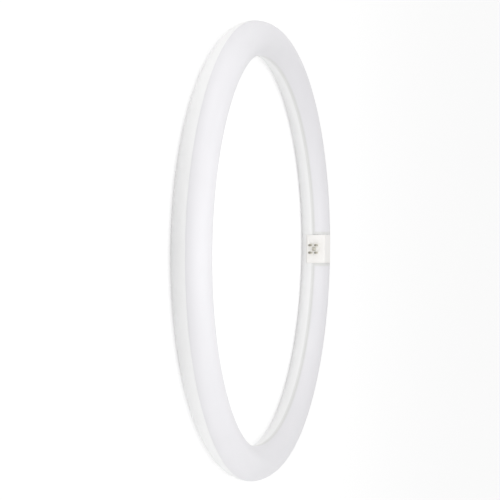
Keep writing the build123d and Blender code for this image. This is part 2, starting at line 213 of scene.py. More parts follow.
class LampSettings(bpy.types.PropertyGroup):
    """All settings of the lamp"""

    shells: bpy.props.PointerProperty(type=ShellSizes)
    base: bpy.props.PointerProperty(type=BaseSizes)
    light: bpy.props.PointerProperty(type=LightSizes)
    stage: bpy.props.PointerProperty(type=StageSettings)


def add_node(tree, kind, inputs=(), **settings):
    """Adds a node with its settings, and gives its inputs their values and links.

    The inputs are listed in order, or by name or number. A node among them stands for its first output.
    """
    node = tree.nodes.new(kind)
    for name, value in settings.items():
        setattr(node, name, value)
    for key, value in inputs.items() if isinstance(inputs, dict) else enumerate(inputs):
        value = value.outputs[0] if isinstance(value, bpy.types.Node) else value
        if isinstance(value, bpy.types.NodeSocket):
            tree.links.new(value, node.inputs[key])
        else:
            node.inputs[key].default_value = value
    return node


def new_tree(name, kinds):
    """An empty geometry tree with named inputs of some kinds, and the sockets that bring them in"""
    tree = bpy.data.node_groups.new(name, "GeometryNodeTree")
    tree.interface.new_socket("Geometry", in_out="OUTPUT", socket_type="NodeSocketGeometry")
    for label, kind in kinds.items():
        tree.interface.new_socket(label, in_out="INPUT", socket_type="NodeSocket" + kind)
    return tree, tree.nodes.new("NodeGroupInput").outputs


def close_tree(tree, geometry, *paints):
    """Ends a tree: real geometry, with a material on all of it or on a selection"""
    shape = add_node(tree, "GeometryNodeRealizeInstances", [geometry])
    for paint in paints:
        shape = add_node(tree, "GeometryNodeSetMaterial", {"Geometry": shape, **paint})
    add_node(tree, "NodeGroupOutput", [shape])
    return tree


def add_object(name, data):
    """A new object in the scene"""
    thing = bpy.data.objects.new(name, data)
    bpy.context.scene.collection.objects.link(thing)
    return thing


def plain_mesh(holder):
    """Turns what an object's modifiers make into its own plain mesh"""
    graph = bpy.context.evaluated_depsgraph_get()
    made = holder.evaluated_get(graph)
    mesh = bpy.data.meshes.new_from_object(made, preserve_all_data_layers=True, depsgraph=graph)
    holder.modifiers.clear()
    holder.data = mesh
    return holder


def grow(name, tree, values):
    """Makes a piece by running a tree with values for its named inputs"""
    holder = add_object(name, bpy.data.meshes.new(name))
    modifier = holder.modifiers.new("Build", "NODES")
    modifier.node_group = tree
    for item in tree.interface.items_tree:
        if item.in_out == "INPUT":
            modifier[item.identifier] = values[item.name]
    return plain_mesh(holder)


def smooth(piece, limit):
    """Smooth shading, broken where faces meet at more than an angle in degrees"""
    piece.data.shade_smooth()
    piece.data.set_sharp_from_angle(angle=math.radians(limit))


def paint(piece, material):
    """Gives a whole piece one material"""
    piece.data.materials.clear()
    piece.data.materials.append(material)


def place(piece, slot, *nodes):
    """Rides a finished piece on the lamp in place of its CAD nodes"""
    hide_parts(*nodes)
    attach(piece, "root")


def outline(name, points):
    """A helper curve round a closed section, from its points across and up"""
    curve = bpy.data.curves.new(name, "CURVE")
    curve.dimensions = "3D"
    spline = curve.splines.new("POLY")
    spline.points.add(len(points) - 1)
    for point, (across, up) in zip(spline.points, points):
        point.co = (across, up, 0, 1)
    spline.use_cyclic_u = True
    return add_object(name, curve)


def arc(radius, start, end, steps):
    """Points of an arc round the section's middle, between two angles in radians"""
    turns = [start + (end - start) * step / steps for step in range(steps + 1)]
    return [(radius * math.cos(turn), radius * math.sin(turn)) for turn in turns]


EDGE_PART = 2.1  # a rounded corner takes up at most one part in this of each of its edges


def eased(points, radius, least=40):
    """A closed outline with each corner that turns by more than least degrees rounded to a radius"""
    result = []
    for number, point in enumerate(points):
        middle = Vector(point)
        back = Vector(points[number - 1]) - middle
        ahead = Vector(points[(number + 1) % len(points)]) - middle
        turn = math.pi - back.angle(ahead)
        if turn < math.radians(least):
            result.append(point)
            continue
        reach = min(radius * math.tan(turn / 2), back.length / EDGE_PART, ahead.length / EDGE_PART)
        start = middle + back.normalized() * reach
        end = middle + ahead.normalized() * reach
        for share in (0, 0.25, 0.5, 0.75, 1):
            curve = start.lerp(middle, share).lerp(middle.lerp(end, share), share)
            result.append(tuple(curve))
    return result


def inside_corners(sizes, sign, inset=0.0):
    """The right-hand corners of a shell's flat-sided inside, or of flats inside it, from rim to middle"""
    corner = sizes.tube_radius - sizes.corner_wall
    first = math.asin(sizes.corner_drop / corner)
    step = (math.pi - 2 * first) / sizes.flats
    turns = [first + number * step for number in range(sizes.flats // 2 + 1)]
    corner -= inset
    return [(corner * math.cos(turn), sign * corner * math.sin(turn)) for turn in turns]


def rib_section(sizes):
    """A rib's closed section: a band along the back shell's inside, up to the tray, rooted in the wall"""
    outer = inside_corners(sizes, -1, -sizes.corner_wall / 4)
    inner = inside_corners(sizes, -1, sizes.rib_height)
    right = [(outer[0][0], sizes.rib_top)] + outer
    left = [(inner[0][0], sizes.rib_top)] + inner
    mirrored = [(-across, up) for across, up in reversed(right)]
    inside = [(-across, up) for across, up in left] + left[::-1]
    return right + mirrored + inside


def screw_post(shells, base, face):
    """The screw's post: a prism whose foot follows the back shell's wall"""
    wall = shells.tube_radius - shells.corner_wall / 2
    alongs = [face + base.post_length * step / 8 for step in range(9)]
    side = [(along, -math.sqrt(wall**2 - (along - shells.ring_radius) ** 2)) for along in alongs]
    side += [(alongs[-1], shells.lap_top), (face, shells.lap_top)]
    shape = bmesh.new()
    cheek = shape.faces.new([shape.verts.new((-base.post_width / 2, along, up)) for along, up in side])
    grown = bmesh.ops.extrude_face_region(shape, geom=[cheek])["geom"]
    moved = [item for item in grown if isinstance(item, bmesh.types.BMVert)]
    bmesh.ops.translate(shape, verts=moved, vec=(base.post_width, 0, 0))
    bmesh.ops.recalc_face_normals(shape, faces=shape.faces)
    return helper_mesh("Post", shape)


def shell_section(sizes, sign, rim, steps_in):
    """A shell's closed section: its round outside, the rim's steps, and its flat-sided inside"""
    turn = math.asin(rim / sizes.tube_radius)
    right = arc(sizes.tube_radius, sign * math.pi / 2, turn, sizes.arc_steps // 2)
    right += steps_in + inside_corners(sizes, sign)
    left = [(-across, up) for across, up in reversed(right[1:])]
    points = eased(right + left, sizes.edge_radius)
    return points if sign < 0 else points[::-1]


def ring_tree():
    """Sweeps a section round the ring, with ends parallel to the base block's sides, and cuts a notch"""
    kinds = {"Section": "Object", "Ring Radius": "Float", "Steps": "Int", "Opening": "Float"}
    kinds |= {"Closed Ends": "Bool", "Notch Centre": "Vector", "Notch Size": "Vector", "Cut Notch": "Bool"}
    tree, given = new_tree("Ring sweep", {**kinds, "Material": "Material"})
    section = add_node(tree, "GeometryNodeObjectInfo", {"Object": given["Section"]}).outputs["Geometry"]
    line = add_node(tree, "GeometryNodeCurvePrimitiveLine", {"Start": (0, 0, 0), "End": (0, 1, 0)})
    points = add_node(tree, "ShaderNodeMath", (given["Steps"], 1), operation="ADD")
    path = add_node(tree, "GeometryNodeResampleCurve", {"Curve": line, "Count": points})
    swept = {"Curve": path, "Profile Curve": section, "Fill Caps": given["Closed Ends"]}
    straight = add_node(tree, "GeometryNodeCurveToMesh", swept)
    here = add_node(tree, "GeometryNodeInputPosition")
    across, share, down = add_node(tree, "ShaderNodeSeparateXYZ", [here]).outputs
    reach = add_node(tree, "ShaderNodeMath", (given["Ring Radius"], across), operation="ADD")
    edge = add_node(tree, "ShaderNodeMath", (given["Opening"], reach), operation="DIVIDE")
    start = add_node(tree, "ShaderNodeMath", [edge], operation="ARCSINE")
    span = add_node(tree, "ShaderNodeMath", (start, -2, 2 * math.pi), operation="MULTIPLY_ADD")
    turn = add_node(tree, "ShaderNodeMath", (share, span, start), operation="MULTIPLY_ADD")
    waves = [add_node(tree, "ShaderNodeMath", [turn], operation=wave) for wave in ("SINE", "COSINE")]
    spot = [add_node(tree, "ShaderNodeMath", (reach, wave), operation="MULTIPLY") for wave in waves]
    spot.append(add_node(tree, "ShaderNodeMath", (down, -1), operation="MULTIPLY"))
    moved = add_node(tree, "ShaderNodeCombineXYZ", spot)
    bent = add_node(tree, "GeometryNodeSetPosition", {"Geometry": straight, "Position": moved})
    joined = add_node(tree, "GeometryNodeMergeByDistance", {"Geometry": bent, "Distance": MERGE})
    block = add_node(tree, "GeometryNodeMeshCube", {"Size": given["Notch Size"]})
    notch = {"Geometry": block, "Translation": given["Notch Centre"]}
    meshes = {"Mesh 1": joined, "Mesh 2": add_node(tree, "GeometryNodeTransform", notch)}
    cut = add_node(tree, "GeometryNodeMeshBoolean", meshes, operation="DIFFERENCE", solver="EXACT")
    choice = {"Switch": given["Cut Notch"], "False": joined, "True": cut}
    chosen = add_node(tree, "GeometryNodeSwitch", choice, input_type="GEOMETRY")
    return close_tree(tree, chosen, {"Material": given["Material"]})


def sweep_ring(name, section, sizes, material, opening=0.0, notch=None):
    """A shell swept round the ring: closed, or open where the base block stands"""
    centre, size = notch or ((0, 0, 0), (MM, MM, MM))
    helper = outline(name + " section", section)
    values = {
        "Section": helper,
        "Ring Radius": sizes.ring_radius,
        "Steps": sizes.ring_steps,
        "Opening": opening,
        "Closed Ends": opening > 0,
        "Notch Centre": centre,
        "Notch Size": size,
        "Cut Notch": notch is not None,
        "Material": material,
    }
    piece = grow(name, ring_tree(), values)
    bpy.data.objects.remove(helper)
    smooth(piece, 30)
    return piece


def rib_tree():
    """Ribs across the back shell: one flat section, thickened, at even steps round the ring"""
    kinds = {"Section": "Object", "Ring Radius": "Float", "Thickness": "Float", "Count": "Int"}
    tree, given = new_tree("Rib pattern", {**kinds, "First Angle": "Float", "Material": "Material"})
    section = add_node(tree, "GeometryNodeObjectInfo", {"Object": given["Section"]}).outputs["Geometry"]
    flat = add_node(tree, "GeometryNodeFillCurve", {"Curve": section}, mode="NGONS")
    grown = {"Mesh": flat, "Offset Scale": given["Thickness"], "Individual": False}
    thick = add_node(tree, "GeometryNodeExtrudeMesh", grown)
    closed = add_node(tree, "GeometryNodeFlipFaces", {"Mesh": flat})
    both = add_node(tree, "GeometryNodeJoinGeometry")
    for part in (thick, closed):
        tree.links.new(part.outputs[0], both.inputs[0])
    solid = add_node(tree, "GeometryNodeMergeByDistance", {"Geometry": both, "Distance": MERGE})
    upright = add_node(tree, "GeometryNodeTransform", {"Geometry": solid, "Rotation": (math.pi / 2, 0, 0)})
    ring = {"Resolution": given["Count"], "Radius": given["Ring Radius"]}
    circle = add_node(tree, "GeometryNodeCurvePrimitiveCircle", ring, mode="RADIUS")
    first = add_node(tree, "ShaderNodeCombineXYZ", {2: given["First Angle"]})
    path = add_node(tree, "GeometryNodeTransform", {"Geometry": circle, "Rotation": first})
    here = add_node(tree, "GeometryNodeInputPosition")
    facing = add_node(tree, "FunctionNodeAlignRotationToVector", {"Vector": here}, axis="X")
    spots = {"Points": path, "Instance": upright, "Rotation": facing}
    copies = add_node(tree, "GeometryNodeInstanceOnPoints", spots)
    return close_tree(tree, copies, {"Material": given["Material"]})


def pin_tree():
    """The contact pins: copies of a turned pin at the corners of an upright rectangle"""
    kinds = {"Pin": "Object", "Across": "Float", "Up": "Float", "Centre": "Vector", "Material": "Material"}
    tree, given = new_tree("Pin pattern", kinds)
    pin = add_node(tree, "GeometryNodeObjectInfo", {"Object": given["Pin"]}).outputs["Geometry"]
    corners = {"Size X": given["Across"], "Size Y": given["Up"], "Vertices X": 2, "Vertices Y": 2}
    grid = add_node(tree, "GeometryNodeMeshGrid", corners)
    pose = {"Geometry": grid, "Translation": given["Centre"], "Rotation": (math.pi / 2, 0, 0)}
    upright = add_node(tree, "GeometryNodeTransform", pose)
    copies = add_node(tree, "GeometryNodeInstanceOnPoints", {"Points": upright, "Instance": pin})
    return close_tree(tree, copies, {"Material": given["Material"]})


def led_tree():
    """Rows of LED packages round the ring, board after board, with a window in each"""
    kinds = {"Package": "Object", "Boards": "Int", "LEDs": "Int", "Ring Radius": "Float", "Height": "Float"}
    kinds |= {"First Angle": "Float", "Board Step": "Float", "LED Step": "Float"}
    tree, given = new_tree("LED rows", {**kinds, "Material": "Material", "Window Material": "Material"})
    package = add_node(tree, "GeometryNodeObjectInfo", {"Object": given["Package"]}).outputs["Geometry"]
    total = add_node(tree, "ShaderNodeMath", (given["Boards"], given["LEDs"]), operation="MULTIPLY")
    line = add_node(tree, "GeometryNodeMeshLine", {"Count": total})
    index = add_node(tree, "GeometryNodeInputIndex")
    passed = add_node(tree, "ShaderNodeMath", (index, given["LEDs"]), operation="DIVIDE")
    board = add_node(tree, "ShaderNodeMath", [passed], operation="FLOOR")
    within = add_node(tree, "ShaderNodeMath", (index, given["LEDs"]), operation="MODULO")
    middle = add_node(tree, "ShaderNodeMath", (within, 0.5), operation="ADD")
    values = (middle, given["LED Step"], given["First Angle"])
    along = add_node(tree, "ShaderNodeMath", values, operation="MULTIPLY_ADD")
    turn = add_node(tree, "ShaderNodeMath", (board, given["Board Step"], along), operation="MULTIPLY_ADD")
    waves = [add_node(tree, "ShaderNodeMath", [turn], operation=wave) for wave in ("COSINE", "SINE")]
    radius = given["Ring Radius"]
    spot = [add_node(tree, "ShaderNodeMath", (wave, radius), operation="MULTIPLY") for wave in waves]
    moved = add_node(tree, "ShaderNodeCombineXYZ", (*spot, given["Height"]))
    points = add_node(tree, "GeometryNodeSetPosition", {"Geometry": line, "Position": moved})
    upright = add_node(tree, "ShaderNodeCombineXYZ", {2: turn})
    facing = add_node(tree, "FunctionNodeEulerToRotation", [upright])
    spots = {"Points": points, "Instance": package, "Rotation": facing}
    copies = add_node(tree, "GeometryNodeInstanceOnPoints", spots)
    window = add_node(tree, "GeometryNodeInputNamedAttribute", {"Name": "window"}, data_type="BOOLEAN")
    glazing = {"Selection": window, "Material": given["Window Material"]}
    return close_tree(tree, copies, {"Material": given["Material"]}, glazing)


def helper_mesh(name, shape):
    """A helper object from a bmesh, which is freed"""
    mesh = bpy.data.meshes.new(name)
    shape.to_mesh(mesh)
    shape.free()
    return add_object(name, mesh)


def turned(name, profile, steps=48):
    """A piece turned about the Y axis from its profile: a radius and a place along Y for each point"""
    shape = bmesh.new()
    points = [shape.verts.new((radius, along, 0)) for radius, along in profile]
    edges = [shape.edges.new(pair) for pair in zip(points, points[1:])]
    bmesh.ops.spin(
        shape,
        geom=points + edges,
        cent=(0, 0, 0),
        axis=(0, 1, 0),
        angle=2 * math.pi,
        steps=steps,
        use_duplicate=False,
    )
    bmesh.ops.remove_doubles(shape, verts=shape.verts, dist=MERGE)
    bmesh.ops.recalc_face_normals(shape, faces=shape.faces)
    return helper_mesh(name, shape)


def block(name, low, high):
    """A helper block between two corners"""
    shape = bmesh.new()
    low, high = Vector(low), Vector(high)
    bmesh.ops.create_cube(
        shape, matrix=Matrix.Translation((low + high) / 2) @ Matrix.Diagonal((*(high - low), 1))
    )
    return helper_mesh(name, shape)


def carve(piece, cutter):
    """Cuts a helper's shape out of a piece and deletes the helper"""
    cut = piece.modifiers.new("Cut", "BOOLEAN")
    cut.operation = "DIFFERENCE"
    cut.solver = "EXACT"
    cut.object = cutter
    plain_mesh(piece)
    bpy.data.objects.remove(cutter)
    return piece


def fuse(piece, *others):
    """Takes other pieces' meshes into a piece, as one moulding"""
    shape = bmesh.new()
    shape.from_mesh(piece.data)
    for other in others:
        shape.from_mesh(other.data)
        bpy.data.objects.remove(other)
    shape.to_mesh(piece.data)
    shape.free()
    return piece


def new_material(name):
    """An empty material with its shader, and the object coordinates that its patterns follow"""
    material = bpy.data.materials.new(name)
    material.use_nodes = True
    tree = material.node_tree
    tree.nodes.clear()
    shader = add_node(tree, "ShaderNodeBsdfPrincipled")
    add_node(tree, "ShaderNodeOutputMaterial", [shader])
    return material, tree, shader, add_node(tree, "ShaderNodeTexCoord").outputs["Object"]


def dress(tree, shader, tone, gloss, relief):
    """Gives a shader two tones, a roughness that strays from its middle, and a relief, each by a pattern"""
    pattern, pale, deep = tone
    tones = add_node(tree, "ShaderNodeMix", {"Factor": pattern, 6: pale, 7: deep}, data_type="RGBA")
    pattern, middle, stray = gloss
    rough = {"Value": pattern, "To Min": middle - stray, "To Max": middle + stray}
    pattern, strength, depth = relief
    raised = {"Height": pattern, "Strength": strength, "Distance": depth}
    tree.links.new(tones.outputs[2], shader.inputs["Base Color"])
    tree.links.new(add_node(tree, "ShaderNodeMapRange", rough).outputs[0], shader.inputs["Roughness"])
    tree.links.new(add_node(tree, "ShaderNodeBump", raised).outputs[0], shader.inputs["Normal"])


def moulded(name, pale, deep, roughness, ior, grain, mottle):
    """A moulded plastic: faint clouds of two tones, and a fine grain that breaks up its gloss.

    The widths of a grain and of a cloud are in millimetres. A tool's real grain, under 0.1 mm, is too fine to
    show, so it is drawn coarser.
    """
    material, tree, shader, spot = new_material(name)
    clouds = add_node(tree, "ShaderNodeTexNoise", {"Vector": spot, "Scale": 1 / (mottle * MM), "Detail": 3})
    grains = add_node(tree, "ShaderNodeTexNoise", {"Vector": spot, "Scale": 1 / (grain * MM), "Detail": 2})
    relief = (grains, 0.25, grain * MM / 20)
    dress(tree, shader, (clouds, pale, deep), (grains, roughness, 0.06), relief)
    shader.inputs["IOR"].default_value = ior
    return material


def turned_metal(name, pale, deep, roughness, pitch, blot):
    """A turned and plated metal: fine rings round the piece's axis, and dull spots in the plating.

    The rings' pitch and the width of a spot are in millimetres. Real turning marks, under 0.1 mm, are too
    fine to show, so they are drawn coarser.
    """
    material, tree, shader, spot = new_material(name)
    lines = {"Vector": spot, "Scale": 1 / (pitch * MM) / (2 * math.pi), "Distortion": 0.4}
    rings = add_node(tree, "ShaderNodeTexWave", lines, wave_type="BANDS", bands_direction="Y")
    blots = add_node(tree, "ShaderNodeTexNoise", {"Vector": spot, "Scale": 1 / (blot * MM), "Detail": 4})
    dress(tree, shader, (blots, pale, deep), (blots, roughness, 0.1), (rings, 0.2, pitch * MM / 10))
    shader.inputs["Metallic"].default_value = 1
    return material


def lined(name, pale, deep, roughness, metallic, pitch, *directions):
    """Lines at a pitch in millimetres, in tone, gloss and relief: two directions make a weave"""
    material, tree, shader, spot = new_material(name)
    values = {"Vector": spot, "Scale": 1 / (pitch * MM) / (2 * math.pi), "Distortion": 1.5, "Detail": 1}
    sets = [add_node(tree, "ShaderNodeTexWave", values, **direction).outputs[1] for direction in directions]
    lines = sets[0]
    for crossed in sets[1:]:
        lines = add_node(tree, "ShaderNodeMath", (lines, crossed), operation="MAXIMUM")
    relief = (lines, 0.3, pitch * MM / 10)
    dress(tree, shader, (lines, linear(pale), linear(deep)), (lines, roughness, 0.07), relief)
    shader.inputs["Metallic"].default_value = metallic
    return material


SMOOTH = {"interpolation_type": "SMOOTHSTEP"}  # eases a map range in and out
FALLING = {"To Min": 1, "To Max": 0}  # turns a map range to go from 1 down to 0
RIM_SHADE_LINE = (-1.9 * MM, -1.1 * MM)  # from the seam, where the back shell's painted shade line fades in
LAP_SHADE_BAND = (-1.0 * MM, 1.5 * MM)  # from the lap's top, where the painted shade band along the seam fades out
CHEEK_SHADOW_BAND = (2.0 * MM, 4.0 * MM)  # from the diffuser's ends, where the painted shadow beside the base block fades out


def object_place(tree):
    """The place along X, Y and Z, and the distance from the ring's axis"""
    spot = add_node(tree, "ShaderNodeTexCoord").outputs["Object"]
    flat = add_node(tree, "ShaderNodeVectorMath", (spot, (1, 1, 0)), operation="MULTIPLY")
    reach = add_node(tree, "ShaderNodeVectorMath", [flat], operation="LENGTH").outputs["Value"]
    return (*add_node(tree, "ShaderNodeSeparateXYZ", [spot]).outputs, reach)


def inner_side(tree, reach, shells):
    """1 on the ring's inner side and 0 on its outer side"""
    inner = shells.ring_radius - shells.tube_radius / 2
    values = {"Value": reach, "From Min": inner, "From Max": shells.ring_radius, **FALLING}
    return add_node(tree, "ShaderNodeMapRange", values, **SMOOTH)


def shader_of(material):
    """A material's shader"""
    return next(node for node in material.node_tree.nodes if node.type == "BSDF_PRINCIPLED")


def shade(material, share, tone):
    """Lays a second tone over a material's own, by a share between 0 and 1"""
    tree, shader = material.node_tree, shader_of(material)
    own = shader.inputs["Base Color"].links[0].from_socket
    mixed = add_node(tree, "ShaderNodeMix", {"Factor": share, 6: own, 7: linear(tone)}, data_type="RGBA")
    tree.links.new(mixed.outputs[2], shader.inputs["Base Color"])


def opaque_polycarbonate(white, shells):
    """Opaque white polycarbonate, injection moulded in a satin tool: even, with a soft broad sheen.

    On the ring's inner side a slightly greyer line follows the rim: painted shade along the seam.
    """
    material = moulded("Opaque white polycarbonate", white, linear("F4F4F4"), 0.42, 1.585, 0.4, 30)
    tree = material.node_tree
    height, reach = object_place(tree)[2:]
    # painted shade: a greyer line along the back shell's rim, on the ring's inner side only
    start, end = (shells.seam_height + edge for edge in RIM_SHADE_LINE)
    values = {"Value": height, "From Min": start, "From Max": end}
    rim = add_node(tree, "ShaderNodeMapRange", values, **SMOOTH)
    line = add_node(tree, "ShaderNodeMath", (rim, inner_side(tree, reach, shells)), operation="MULTIPLY")
    # the greyer tone E7E7E6 is painted shade
    shade(material, line, "E7E7E6")
    return material


def opal_polycarbonate(white, shells):
    """Opal polycarbonate, filled with light-spreading grains: light sinks in a little and comes out softened.

    Two greyer bands are painted light: shade along the seam over the lap, on the ring's inner side, and the
    base block's shadow on the diffuser beside the block's cheeks at its two ends.
    """
    material = moulded("Opal polycarbonate", white, linear("E7E6E9"), 0.5, 1.585, 0.4, 40)
    tree = material.node_tree
    along_x, along_y, height, reach = object_place(tree)
    across = add_node(tree, "ShaderNodeMath", [along_x], operation="ABSOLUTE")
    # painted shade: a band over the lap on the inner side, and a painted shadow beside the base block's
    # cheeks
    shade_bands = []
    for value, zero, band in ((height, shells.lap_top, LAP_SHADE_BAND), (across, shells.opening, CHEEK_SHADOW_BAND)):
        values = {"Value": value, "From Min": zero + band[0], "From Max": zero + band[1], **FALLING}
        shade_bands.append(add_node(tree, "ShaderNodeMapRange", values, **SMOOTH))
    base_side = add_node(tree, "ShaderNodeMath", (along_y, 0.0), operation="GREATER_THAN")
    limits = (inner_side(tree, reach, shells), base_side)
    shade_bands = [add_node(tree, "ShaderNodeMath", pair, operation="MULTIPLY") for pair in zip(shade_bands, limits)]
    # both bands take the greyer tone E0E0DF as painted shade
    shade(material, add_node(tree, "ShaderNodeMath", shade_bands, operation="MAXIMUM"), "E0E0DF")
    depth = {"Subsurface Weight": 0.25, "Subsurface Radius": (1, 1, 1), "Subsurface Scale": 1.2 * MM}
    for name, value in depth.items():
        shader_of(material).inputs[name].default_value = value
    return material


def base_polyester(white):
    """Heat-proof PBT polyester, injection moulded: a warmer white than the shells, with a finer grain"""
    return moulded("Warm white PBT", white, linear("F8F6F3"), 0.45, 1.54, 0.3, 15)


def plated_brass(metal, tip, clean):
    """Nickel-plated brass, turned: pale grey with a little of the brass's warmth, dark and dull at the tip"""
    material = turned_metal("Nickel-plated brass", metal, linear("BDBAAC"), 0.4, 0.15, 0.8)
    tree = material.node_tree
    values = {"Value": object_place(tree)[1], "From Min": tip, "From Max": clean, **FALLING}
    shade(material, add_node(tree, "ShaderNodeMapRange", values, **SMOOTH), "98958A")
    return material


def zinc_plated_steel(metal):
    """Zinc-plated steel, cold headed: pale grey and slightly cloudy"""
    return turned_metal("Zinc-plated steel", metal, linear("BFBCB3"), 0.38, 0.2, 0.6)


def tinned_copper():
    """Copper bridges, dipped in tin: bright grey with soft dull clouds"""
    return turned_metal("Tinned copper", linear("CFCFCC"), linear("A9AAA9"), 0.3, 0.5, 0.8)


def package_polyamide(white):
    """White polyamide of an LED package, moulded: chalky, with a fine grain"""
    return moulded("White polyamide", white, linear("E6E5DE"), 0.55, 1.53, 0.1, 1)


def phosphor_silicone(yellow):
    """Silicone filled with yellow phosphor, cast in the window: smooth and a little wet-looking"""
    return moulded("Phosphor silicone", yellow, linear("DDC23C"), 0.25, 1.41, 0.08, 0.6)


def rolled_aluminium():
    """Aluminium strip, rolled and pressed to a ring: fine bright lines run along it"""
    rings = {"wave_type": "RINGS", "rings_direction": "Z"}
    return lined("Rolled aluminium", "D4D5D6", "BCBDBF", 0.35, 1, 0.4, rings)


def glass_laminate():
    """Green glass-cloth laminate, pressed: the cloth's weave shows faintly under the resin"""
    threads = [{"wave_type": "BANDS", "bands_direction": axis} for axis in "XY"]
    return lined("Green laminate", "3F7A52", "33694A", 0.35, 0, 0.6, *threads)


def wound_tape():
    """Yellow polyester tape, wound in layers: shiny, with a step at each turn"""
    turns = {"wave_type": "BANDS", "bands_direction": "Z"}
    return lined("Yellow wound tape", "E0BE3C", "CFA92F", 0.3, 0, 1.2, turns)


# Moulded and coated finishes of the inner pieces: two tones, roughness, IOR, and the widths of a grain and of
# a cloud in millimetres
COATS = {
    # Solder mask, screen printed over the board: glossy, with a faint orange-peel grain
    "White solder mask": ("F1F1EE", "E8E8E4", 0.3, 1.5, 0.5, 8),
    # Polyester film, drawn and folded: pale and smooth, with a slight haze
    "Polyester film": ("E4E6E4", "D9DCDA", 0.22, 1.6, 0.6, 6),
    # Flame-proof polyester, moulded and filled: dull yellow
    "Yellow polyester box": ("D6A83C", "C99A33", 0.42, 1.54, 0.25, 5),
    # PVC sleeve, shrunk on by heat: tight and shiny, with slight waves where it gathered
    "Slate sleeve": ("34404E", "2B3644", 0.28, 1.53, 0.9, 3),
    "Black sleeve": ("262626", "1C1C1C", 0.28, 1.53, 0.9, 3),
    # Epoxy, pressed in a sand-blasted tool: dark grey and matt
    "Black epoxy": ("2B2B2C", "222223", 0.6, 1.55, 0.15, 2),
    # Epoxy resin, dipped: thick, round-edged and shiny
    "Blue dipped resin": ("2F5F9C", "28538B", 0.25, 1.55, 0.8, 4),
    # Fire-proof cement, brushed on: chalky and coarse
    "Cement coat": ("C8C6BC", "B4B2A8", 0.85, 1.5, 0.35, 2),
    # Manganese-zinc ferrite, pressed and sintered: dark grey with a faint sparkle
    "Sintered ferrite": ("3B3C3F", "2F3033", 0.5, 2.1, 0.2, 1.5),
    # PVC insulation, extruded over the wire: smooth and a little waxy
    "White PVC": ("E6E5E0", "DBDAD4", 0.4, 1.53, 0.5, 4),
    "Dull red PVC": ("6E2A26", "5E2320", 0.4, 1.53, 0.5, 4),
    "Black PVC": ("2A2A2A", "202020", 0.4, 1.53, 0.5, 4),
}


def finish(material, *names):
    """Gives CAD nodes a material"""
    for name in names:
        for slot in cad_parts[name].material_slots:
            slot.material = material


def coat(name, *nodes):
    """Gives CAD nodes a finish from the list of coats"""
    pale, deep, *values = COATS[name]
    finish(moulded(name, linear(pale), linear(deep), *values), *nodes)


class LAMP_OT_back_shell(bpy.types.Operator):
    """Sweeps the opaque back shell round the ring, with its ribs, screw post and notch for the base block"""

    bl_idname = "lamp.back_shell"
    bl_label = "Back shell"

    def execute(self, context):
        sizes, base = context.scene.lamp.shells, context.scene.lamp.base
        inner = inside_corners(sizes, -1)[0][0]
        tongue = inner + sizes.tongue
        steps_in = [(tongue, sizes.seam_height), (tongue, sizes.lap_top), (inner, sizes.lap_top)]
        section = shell_section(sizes, -1, sizes.seam_height, steps_in)
        material = opaque_polycarbonate(sizes.shell_white, sizes)
        plate_back = BASE_LOW.y + base.plate
        low = Vector((BASE_LOW.x - sizes.notch_play, BASE_LOW.y - sizes.tube_radius, BASE_LOW.z))
        high = Vector((BASE_HIGH.x + sizes.notch_play, plate_back + sizes.notch_play, sizes.tube_radius))
        piece = sweep_ring("Back_shell", section, sizes, material, notch=((low + high) / 2, high - low))
        helper = outline("Rib section", rib_section(sizes))
        values = {
            "Section": helper,
            "Ring Radius": sizes.ring_radius,
            "Thickness": sizes.rib_thickness,
            "Count": sizes.rib_count,
            "First Angle": math.pi / 2 + math.pi / sizes.rib_count,
            "Material": material,
        }
        ribs = grow("Ribs", rib_tree(), values)
        bpy.data.objects.remove(helper)
        face = plate_back + base.post_gap
        shank = base.screw_shank
        start, end = face - MM, SCREW_HIGH.y
        bore = turned("Bore", [(0, start), (shank, start), (shank, end), (0, end)])
        bore.data.transform(Matrix.Translation((0, 0, (SCREW_LOW.z + SCREW_HIGH.z) / 2)))
        fuse(piece, ribs, carve(screw_post(sizes, base, face), bore))
        place(piece, "shell_plastic", "back_shell")
        return {"FINISHED"}


class LAMP_OT_front_diffuser(bpy.types.Operator):
    """Sweeps the milky front diffuser round the ring, open where the base block stands"""

    bl_idname = "lamp.front_diffuser"
    bl_label = "Front diffuser"

    def execute(self, context):
        sizes = context.scene.lamp.shells
        inner = inside_corners(sizes, 1)[0][0]
        skirt = inner + sizes.tongue + sizes.clearance
        rim = sizes.seam_height + sizes.seam_line
        steps_in = [(skirt, rim), (skirt, sizes.lap_top), (inner, sizes.lap_top)]
        section = shell_section(sizes, 1, rim, steps_in)
        material = opal_polycarbonate(sizes.diffuser_white, sizes)
        piece = sweep_ring("Front_diffuser", section, sizes, material, sizes.opening)
        place(piece, "diffuser_plastic", "front_diffuser")
        return {"FINISHED"}


class LAMP_OT_base_housing(bpy.types.Operator):
    """Eases the base block's moulded edges"""

    bl_idname = "lamp.base_housing"
    bl_label = "Base block"

    def execute(self, context):
        sizes = context.scene.lamp.base
        shape = bmesh.new()
        shape.from_mesh(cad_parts["base_housing"].data)
        bmesh.ops.remove_doubles(shape, verts=shape.verts, dist=MERGE)
        flat = math.radians(0.5)
        bmesh.ops.dissolve_limit(shape, angle_limit=flat, verts=shape.verts, edges=shape.edges)
        piece = helper_mesh("Base_housing", shape)
        soften = piece.modifiers.new("Soften", "BEVEL")
        soften.width = sizes.edge_radius
        soften.segments = 2
        soften.limit_method = "ANGLE"
        soften.angle_limit = math.radians(40)
        soften.harden_normals = True
        plain_mesh(piece)
        paint(piece, base_polyester(sizes.base_white))
        smooth(piece, 35)
        place(piece, "base_plastic", "base_housing")
        return {"FINISHED"}


